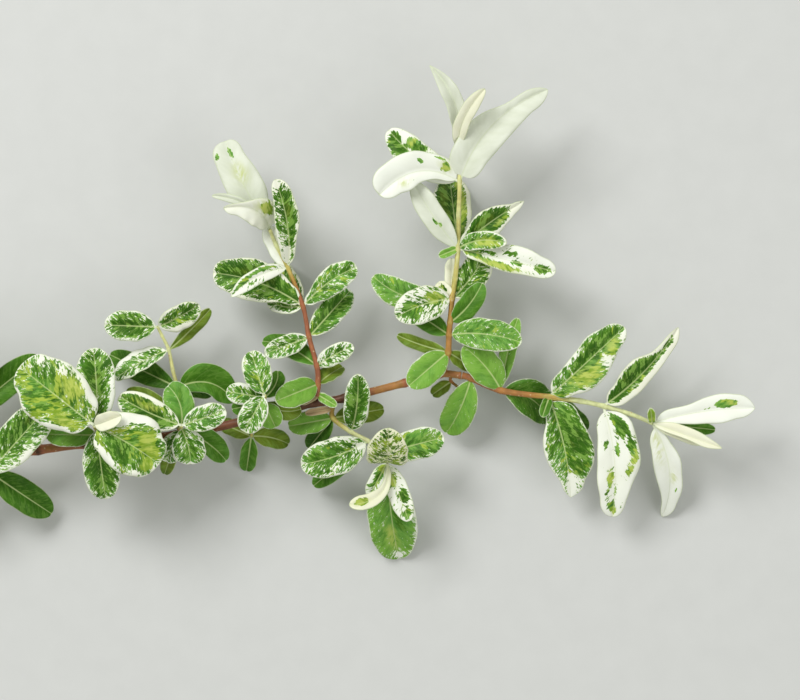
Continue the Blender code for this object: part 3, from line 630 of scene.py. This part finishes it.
def add_tube(mesh, route, thick, ages, scar, steps, sides, relief):
    """Adds a stem: a grid wrapped round its route, welded at its seam and closed at both ends.

    `ages` is the age of its bark at each point of the route, and `scar` what a node adds to it.
    The grid has `steps` rows from point to point and `sides` round the stem, and `relief` is
    how rough the bark is, as a share of the stem's radius: more on old wood, with a ring at
    each node.
    """
    layers = mesh.verts.layers.float_vector
    stem = layers.get("stem") or layers.new("stem")
    rows = steps * (len(route) - 1)
    old = set(mesh.faces)
    verts = bmesh.ops.create_grid(mesh, x_segments=sides, y_segments=rows, size=0.5)["verts"]
    length = [0.0]
    points = [along(route, i / steps) for i in range(rows + 1)]
    for a, b in zip(points, points[1:]):
        length.append(length[-1] + (b - a).length)
    for vert in verts:
        row = round((vert.co.y + 0.5) * rows)
        turn = 2 * math.pi * (vert.co.x + 0.5)
        place = row / steps
        age = along(ages, place)
        before, after = points[max(0, row - 1)], points[min(rows, row + 1)]
        forward = (after - before).normalized()
        up = Vector((0, 0, 1)) - forward * forward.z
        up = up.normalized() if up.length > 0.2 else forward.orthogonal().normalized()
        out = up * math.cos(turn) + forward.cross(up) * math.sin(turn)
        radius = thickness(route, place, thick) / 2
        reach = Vector((length[row] * BARK_GRAIN, math.cos(turn), math.sin(turn) + len(route)))
        rough = relief * (0.5 + 3 * max(0, age - OLD_AGE))
        radius *= 1 + rough * noise.noise(reach)
        rows_off = abs(place - round(place)) * steps
        ring = math.exp(-(rows_off * RING_SHARPNESS) ** 2) * (0 < row < rows)
        radius *= 1 + relief * RING_RISE * ring
        vert.co = to_metres(points[row] + out * radius)
        vert[stem] = (length[row], math.cos(turn), age + scar * ring)
    faces = [face for face in mesh.faces if face not in old]
    used = list({vert for face in faces for vert in face.verts})
    bmesh.ops.remove_doubles(mesh, verts=used, dist=1e-7)
    faces = [face for face in mesh.faces if face not in old]
    rims = {edge for face in faces for edge in face.edges if edge.is_boundary}
    bmesh.ops.holes_fill(mesh, edges=list(rims), sides=0)
    faces = [face for face in mesh.faces if face not in old]
    bmesh.ops.recalc_face_normals(mesh, faces=faces)
    for face in faces:
        face.smooth = len(face.verts) == 4


def shoot_ages(age, points):
    """The bark ages of a shoot at its points, from the old foot over to the young tip."""
    foot, tip, change = age
    takes = 0.2  # of the shoot, for the change from one to the other
    young = [min(max((i / (points - 1) - change) / takes + 0.5, 0.0), 1.0) for i in range(points)]
    return [foot + (tip - foot) * share for share in young]


def linear(code):
    """An sRGB hex colour as linear light, with full alpha."""
    parts = [int(code[i:i + 2], 16) / 255 for i in (1, 3, 5)]
    return [c / 12.92 if c <= 0.04045 else ((c + 0.055) / 1.055) ** 2.4 for c in parts] + [1]


def new_material(name):
    """A new material with its node tree and the shader of its surface."""
    material = bpy.data.materials.new(name)
    material.use_nodes = True
    tree = material.node_tree
    return material, tree, tree.nodes["Principled BSDF"]


def fill(node, inputs):
    """Fills a node's inputs, from a list in turn or from a dict by name.

    Each gets a plain value, a socket, or a node, which gives the first of its live outputs.
    """
    if isinstance(inputs, dict):
        sockets, values = [node.inputs[name] for name in inputs], inputs.values()
    else:
        sockets, values = [socket for socket in node.inputs if socket.enabled], inputs
    for socket, value in zip(sockets, values):
        if isinstance(value, bpy.types.Node):
            value = next(given for given in value.outputs if given.enabled)
        if isinstance(value, bpy.types.NodeSocket):
            node.id_data.links.new(value, socket)
        else:
            socket.default_value = value


def add(tree, kind, inputs=(), **settings):
    """Adds a node with its own settings and links."""
    made = tree.nodes.new("ShaderNode" + kind)
    for name, value in settings.items():
        setattr(made, name, value)
    fill(made, inputs)
    return made


def set_stops(ramp, stops):
    """Gives a ramp its stops, each a place from 0 to 1 and a colour."""
    for place, _ in stops[1:-1]:
        ramp.color_ramp.elements.new(place)
    for stop, (_, code) in zip(ramp.color_ramp.elements, stops):
        stop.color = linear(code)


# The colours of a leaf. GREENS runs from olive through dark and mid to light, and CHALKS, for
# the white, from the brown of a dry bud scale through cream.
GREENS = [(0.0, "#758829"), (0.25, "#305a10"), (0.5, "#48781c"), (0.62, "#62983f"),
          (0.75, "#74a63e"), (1.0, "#92bc58")]
CHALKS = [(0.0, "#b39a76"), (0.06, "#e8e5be"), (0.5, "#eceee0"), (0.75, "#f0f3e8"), (1.0, "#d2d7c4")]
LIGHT_PATCH, DARK_PATCH = linear("#8ab450"), linear("#2c5412")
YELLOW_GREEN, YELLOWER_GREEN = linear("#86a42e"), linear("#abbe45")
NET, FRINGE, BLOOM = linear("#a9c46c"), linear("#a0c068"), linear("#bcc766")
MIDRIB, SIDE_VEIN = linear("#c2d190"), linear("#b9cd84")
LIP, UNDERSIDE = linear("#ccd8ac"), linear("#a3b08a")

# How wide the edge of a patch is, as a share of the noise that draws it.
CRISP, SOFT = 0.012, 0.02


def living_leaf():
    """Willow leaf: green tissue under a thin waxy skin, with white where the green is missing.

    The eye sees a soft satin face with a pale midrib, patches of two or three greens that
    follow the side veins, fine pale flecks that crowd towards a ragged white margin, and a
    duller, greyer underside.
    """
    material, tree, shader = new_material("living_willow_leaf")
    read = {}
    for name in LEAF_LAYERS:
        layer = add(tree, "Attribute", attribute_name=name).outputs["Vector"]
        read[name] = add(tree, "SeparateXYZ", [layer]).outputs
    t, s, under = read["share"]
    x, y, edge = read["place"]
    white_cut, speck_cut, yellow_cut = read["pattern"]
    side, fine, margin = read["lie"]
    tone, seed, patchy = read["tone"]
    more_white, more_yellow, more_light = read["dabs"]

    def weighed(start, *parts):
        """A value with others added to it, each times its weight."""
        for value, weight in parts:
            start = add(tree, "Math", [value, weight, start], operation="MULTIPLY_ADD")
        return start

    def passed(value, level, soft):
        """1 where a value is past its level, with a soft edge."""
        over = add(tree, "Math", [value, level], operation="SUBTRACT")
        return add(tree, "MapRange", {"Value": over, "From Min": -soft, "From Max": soft})

    off = add(tree, "Math", [y], operation="ABSOLUTE")
    vein = weighed(x, (off, -VEIN_SLANT))

    def pattern(step_along, step_across, shift):
        """Noise with its steps in mm: along the blade, and outward along the side veins."""
        where = add(tree, "CombineXYZ", [
            add(tree, "Math", [vein, step_along], operation="DIVIDE"),
            add(tree, "Math", [y, step_across], operation="DIVIDE"),
            add(tree, "Math", [seed, shift], operation="ADD")])
        return add(tree, "TexNoise", {"Vector": where, "Scale": 1.0, "Detail": 2.0, "Roughness": 0.55})

    patches = pattern(6.5, 8.0, 0.0)
    streaks = pattern(1.1, 2.0, 11.3)
    grains = pattern(0.7, 0.9, 23.9)
    greens = pattern(2.6, 3.4, 37.1)
    cracks = pattern(2.3, 3.0, 67.3)
    from_crack = add(tree, "Math", [weighed(-0.5, (cracks, 1.0))], operation="ABSOLUTE")
    flecks = weighed(0.29, (pattern(0.6, 0.95, 51.7), 0.6), (from_crack, -1.1))
    near_edge = add(tree, "MapRange", {"Value": edge, "From Max": 3.0, "To Min": 1.0, "To Max": 0.0})

    # The greens: one tone on a plain leaf, crisp lighter and darker patches on a patchy one.
    capped = add(tree, "Math", [tone, 0.76], operation="MINIMUM")
    spread = weighed(0.3, (patchy, 0.25))
    shade = weighed(capped, (weighed(-0.5, (patches, 1.0)), spread), (more_light, 0.35), (near_edge, 0.08))
    green = add(tree, "ValToRGB", [shade])
    set_stops(green, GREENS)
    torn = weighed(0.0, (greens, 0.65), (streaks, 0.35))
    lighter = add(tree, "Math", [passed(torn, 0.535, CRISP), patchy], operation="MULTIPLY")
    darker = add(tree, "Math", [passed(0.44, torn, CRISP), patchy], operation="MULTIPLY")
    sunny = weighed(0.0, (streaks, 0.25), (pattern(3.6, 5.0, 83.9), 0.75), (more_yellow, 0.2))
    yellow = add(tree, "Mix", [passed(torn, 0.5, SOFT), YELLOW_GREEN, YELLOWER_GREEN], data_type="RGBA")

    # The white: whole patches, a ragged margin, and flecks with a pale green fringe.
    tips = weighed(0.0, (grains, 0.3), (streaks, 0.5), (patches, -0.3))
    sided = add(tree, "Math", [side, s], operation="MULTIPLY")
    field = weighed(0.0, (grains, 0.14), (streaks, 0.36), (patches, 0.5), (tips, fine),
                    (fine, -0.25), (sided, 0.13), (more_white, 0.42))
    whole = passed(field, white_cut, CRISP)
    band = weighed(-1.75, (patches, 2.0), (streaks, 2.6))
    ragged = passed(add(tree, "Math", [margin, band], operation="MULTIPLY"), edge, 0.16)
    fleck_level = weighed(0.18, (speck_cut, 1.0), (near_edge, -0.055), (greens, -0.3), (more_white, -0.12))
    speck = add(tree, "Math", [passed(flecks, fleck_level, 0.016), weighed(0.25, (patchy, 0.7))],
                operation="MULTIPLY")
    white = add(tree, "Math", [whole, ragged], operation="MAXIMUM")
    white = add(tree, "Math", [white, speck], operation="MAXIMUM")
    chalk = add(tree, "ValToRGB", [weighed(-0.15, (tone, 1.0), (patches, 0.3))])
    set_stops(chalk, CHALKS)
    round_white = passed(field, weighed(-0.022, (white_cut, 1.0)), CRISP)
    round_fleck = passed(flecks, weighed(-0.045, (fleck_level, 1.0)), SOFT)
    round_fleck = add(tree, "Math", [round_fleck, patchy], operation="MULTIPLY")
    fringe = add(tree, "Math", [weighed(0.0, (round_white, 0.8)), weighed(0.0, (round_fleck, 0.45))],
                 operation="MAXIMUM")

    # The faint yellow-green bloom that is left in the middle of some white leaves, and the veins.
    bloom = add(tree, "Math", [more_yellow, passed(torn, 0.47, 0.06)], operation="MULTIPLY")
    midrib = passed(weighed(0.34, (t, -0.24)), off, 0.13)
    beat = weighed(0.0, (weighed(vein, (patches, 3.0)), 2 * math.pi / VEIN_PITCH))
    beat = add(tree, "Math", [beat], operation="COSINE")
    line = add(tree, "Math", [passed(beat, 0.955, 0.045), weighed(0.07, (white, -0.05))],
               operation="MULTIPLY")

    # The coats of colour, one over the other: where each lies, how strongly, and its tint.
    coats = [
        (lighter, 0.6, LIGHT_PATCH),
        (darker, 0.55, DARK_PATCH),
        (passed(sunny, yellow_cut, SOFT), 0.8, yellow),
        (passed(0.02, from_crack, 0.018), weighed(0.04, (patchy, 0.12)), NET),
        (fringe, 1.0, FRINGE),
        (white, 1.0, chalk),
        (bloom, 0.75, BLOOM),
        (midrib, weighed(0.72, (white, -0.5)), MIDRIB),
        (line, 1.0, SIDE_VEIN),
        (passed(0.24, edge, 0.1), weighed(0.45, (patchy, 0.3)), LIP),
        (under, 0.4, UNDERSIDE),
    ]
    body = green
    for where, strength, tint in coats:
        cover = add(tree, "Math", [where, strength], operation="MULTIPLY")
        body = add(tree, "Mix", [cover, body, tint], data_type="RGBA")

    gloss = weighed(0.38, (grains, 0.2), (under, 0.2))
    height = weighed(0.0, (streaks, 0.5), (grains, 0.35), (line, -1.2))
    bump = add(tree, "Bump", {"Strength": 0.35, "Distance": 0.2 * MM, "Height": height})
    fill(shader, {"Base Color": body, "Roughness": gloss, "Normal": bump, "Specular IOR Level": 0.1})
    return material


# Bark from the youngest to the oldest, and the steps of its patterns in mm.
BARKS = [(0.0, "#d6dca2"), (0.3, "#c3b862"), (0.5, "#aa7c38"), (0.75, "#a06040"), (1.0, "#54331e")]
CORK = linear("#c4a67c")
STREAK_STEP, MOTTLE_STEP, DOT_STEP = 8.3333, 2.38095, 2.63158


def young_bark():
    """Willow bark: a thin skin on a young stem, red-brown on old wood and straw green on new.

    The eye sees a faint satin shine, fine streaks along the stem and pale corky dots.
    """
    material, tree, shader = new_material("young_willow_bark")
    layer = add(tree, "Attribute", attribute_name="stem").outputs["Vector"]
    run, turn, age = add(tree, "SeparateXYZ", [layer]).outputs
    where = add(tree, "TexCoord").outputs["Object"]
    long_way = add(tree, "CombineXYZ", [
        add(tree, "Math", [run, STREAK_STEP], operation="DIVIDE"),
        add(tree, "Math", [turn, 3.0], operation="MULTIPLY")])
    streak = add(tree, "TexNoise", {"Vector": long_way, "Scale": 1.0, "Detail": 3.0})
    mottle = add(tree, "TexNoise", {"Vector": where, "Scale": 1 / (MOTTLE_STEP * MM), "Detail": 2.0})
    dots = add(tree, "TexVoronoi", {"Vector": where, "Scale": 1 / (DOT_STEP * MM)})
    older = add(tree, "Math", [streak, 0.5, age], operation="MULTIPLY_ADD")
    older = add(tree, "Math", [older, 0.25], operation="SUBTRACT")
    ramp = add(tree, "ValToRGB", [older])
    set_stops(ramp, BARKS)
    light = add(tree, "MapRange", {"Value": mottle, "From Min": 0.35, "From Max": 0.65,
                                   "To Min": 0.82, "To Max": 1.1})
    tint = add(tree, "Mix", [1.0, ramp, light], data_type="RGBA", blend_type="MULTIPLY")
    spot = add(tree, "MapRange", {"Value": dots, "From Min": 0.16, "From Max": 0.1})
    tint = add(tree, "Mix", [spot, tint, CORK], data_type="RGBA")
    bump = add(tree, "Bump", {"Strength": 0.6, "Distance": 0.2 * MM, "Height": mottle})
    fill(shader, {"Base Color": tint, "Roughness": 0.5, "Normal": bump, "Specular IOR Level": 0.4})
    return material


# The cut end from its pith to its bark, as shares of the stem's radius, and its fibres in mm.
CUT_END = [(0.0, "#8d6a45"), (0.2, "#8d6a45"), (0.27, "#ddcda0"), (0.5, "#d2be8c"), (0.56, "#dccb9c"),
           (0.84, "#d0bd8a"), (0.93, "#8f9455"), (1.0, "#6d4a30")]
FIBRE_STEP, FIBRE_STRAY = 0.384615, 0.3


def cut_wood():
    """Fresh willow wood: a sawn end, pale with a brown pith and a thin green-brown rim of bark.

    The eye sees two faint year rings round the pith, a little ragged from the wood's fibres.
    """
    material, tree, shader = new_material("cut_willow_wood")
    where = add(tree, "TexCoord").outputs["Object"]
    end = to_metres(Vector(STEM_ROUTE[0]))
    away = add(tree, "VectorMath", [where, end], operation="DISTANCE")
    fibre = add(tree, "TexNoise", {"Vector": where, "Scale": 1 / (FIBRE_STEP * MM)})
    reach = add(tree, "Math", [fibre, FIBRE_STRAY * MM, away], operation="MULTIPLY_ADD")
    share = add(tree, "Math", [reach, STEM_THICK[0] / 2 * MM], operation="DIVIDE")
    ramp = add(tree, "ValToRGB", [share])
    set_stops(ramp, CUT_END)
    fill(shader, {"Base Color": ramp, "Roughness": 0.8})
    return material


TABLE_TINTS = linear("#c7c8c6"), linear("#cdcecc")
GRAIN_STEP = 11.1111  # mm


def table_top():
    """Matt laminate: a pale grey board with a very faint grain, so the white leaves stand out."""
    material, tree, shader = new_material("matt_grey_laminate")
    where = add(tree, "TexCoord").outputs["Object"]
    grain = add(tree, "TexNoise", {"Vector": where, "Scale": 1 / (GRAIN_STEP * MM), "Detail": 3.0})
    tint = add(tree, "Mix", [grain, *TABLE_TINTS], data_type="RGBA")
    fill(shader, {"Base Color": tint, "Roughness": 0.75})
    return material


leaf_look, bark_look = living_leaf(), young_bark()

stem_mesh = bmesh.new()
stem_route = [Vector(point) for point in STEM_ROUTE]
add_tube(stem_mesh, stem_route, STEM_THICK, STEM_AGES, scar=0.3, steps=12, sides=20, relief=0.08)
finish_piece(stem_mesh, "main_stem_bark", bark_look, "main_stem")

CUT_RADIUS, CUT_DEPTH = 1.85 * MM, 0.1 * MM
end_mesh = bmesh.new()
faces_left = Matrix.Translation(to_metres(stem_route[0])) @ Matrix.Rotation(-math.pi / 2, 4, "Y")
bmesh.ops.create_cone(end_mesh, cap_ends=True, segments=24, radius1=CUT_RADIUS, radius2=CUT_RADIUS,
                      depth=CUT_DEPTH, matrix=faces_left)
finish_piece(end_mesh, "cut_end_wood", cut_wood(), "main_stem")

chance = random.Random(11)
for spec in SHOOTS:
    route = route_of(spec)
    ages = shoot_ages(spec["age"], len(route))
    twig_mesh = bmesh.new()
    add_tube(twig_mesh, route, spec["thick"], ages, scar=-0.07, steps=8, sides=14, relief=0.05)
    finish_piece(twig_mesh, spec["name"] + "_twig", bark_look, spec["name"])
    whorls = {}
    for each in spec["leaves"]:
        each["seed"] = chance.uniform(0, 90)
        whorls.setdefault(each["node"], []).append(each)
    count = 0
    for node_leaves in whorls.values():
        for first in range(0, len(node_leaves), LEAVES_A_PIECE):
            group = node_leaves[first:first + LEAVES_A_PIECE]
            piece_mesh = bmesh.new()
            for i, each in enumerate(group):
                block = (i / len(group), (i + 1) / len(group))
                add_leaf(piece_mesh, each, along(route, each["node"]), block)
            count += 1
            finish_piece(piece_mesh, f"{spec['name']}_leaves_{count}", leaf_look, spec["name"])

FLOOR_HALF = 4.0
floor_mesh = bmesh.new()
bmesh.ops.create_grid(floor_mesh, x_segments=4, y_segments=4, size=FLOOR_HALF)
placed(floor_mesh, "table_top", table_top())

CAMERA_HEIGHT = 3.0
VIEW_WIDTH = 0.320  # of the table that the frame shows, VIEW_LEVEL above it
VIEW_LEVEL = 0.020
SENSOR_WIDTH = 36  # mm
view_point = -FOOTPRINT_MIDDLE * MM
camera_data = bpy.data.cameras.new("camera")
camera_data.sensor_width = SENSOR_WIDTH
camera_data.lens = SENSOR_WIDTH * (CAMERA_HEIGHT - VIEW_LEVEL) / VIEW_WIDTH
camera_data.clip_end = 50
camera = bpy.data.objects.new("camera", camera_data)
camera.location = (view_point.x, view_point.y, CAMERA_HEIGHT)
bpy.context.scene.collection.objects.link(camera)
bpy.context.scene.camera = camera


def soft_light(name, place, width, watts):
    """A square studio softbox that faces the branch."""
    data = bpy.data.lights.new(name, "AREA")
    data.size = width
    data.energy = watts
    light = bpy.data.objects.new(name, data)
    light.location = place
    light.rotation_euler = (-Vector(place)).to_track_quat("-Z", "Y").to_euler()
    bpy.context.scene.collection.objects.link(light)


soft_light("key_light", (-0.9, 1.0, 1.5), 0.9, 30)
soft_light("fill_light", (1.3, -0.6, 1.4), 1.4, 10)
world = bpy.data.worlds.new("studio")
world.use_nodes = True
world.node_tree.nodes["Background"].inputs["Color"].default_value = linear("#edefe8")
world.node_tree.nodes["Background"].inputs["Strength"].default_value = 0.55
bpy.context.scene.world = world
bpy.context.scene.view_settings.view_transform = "Standard"
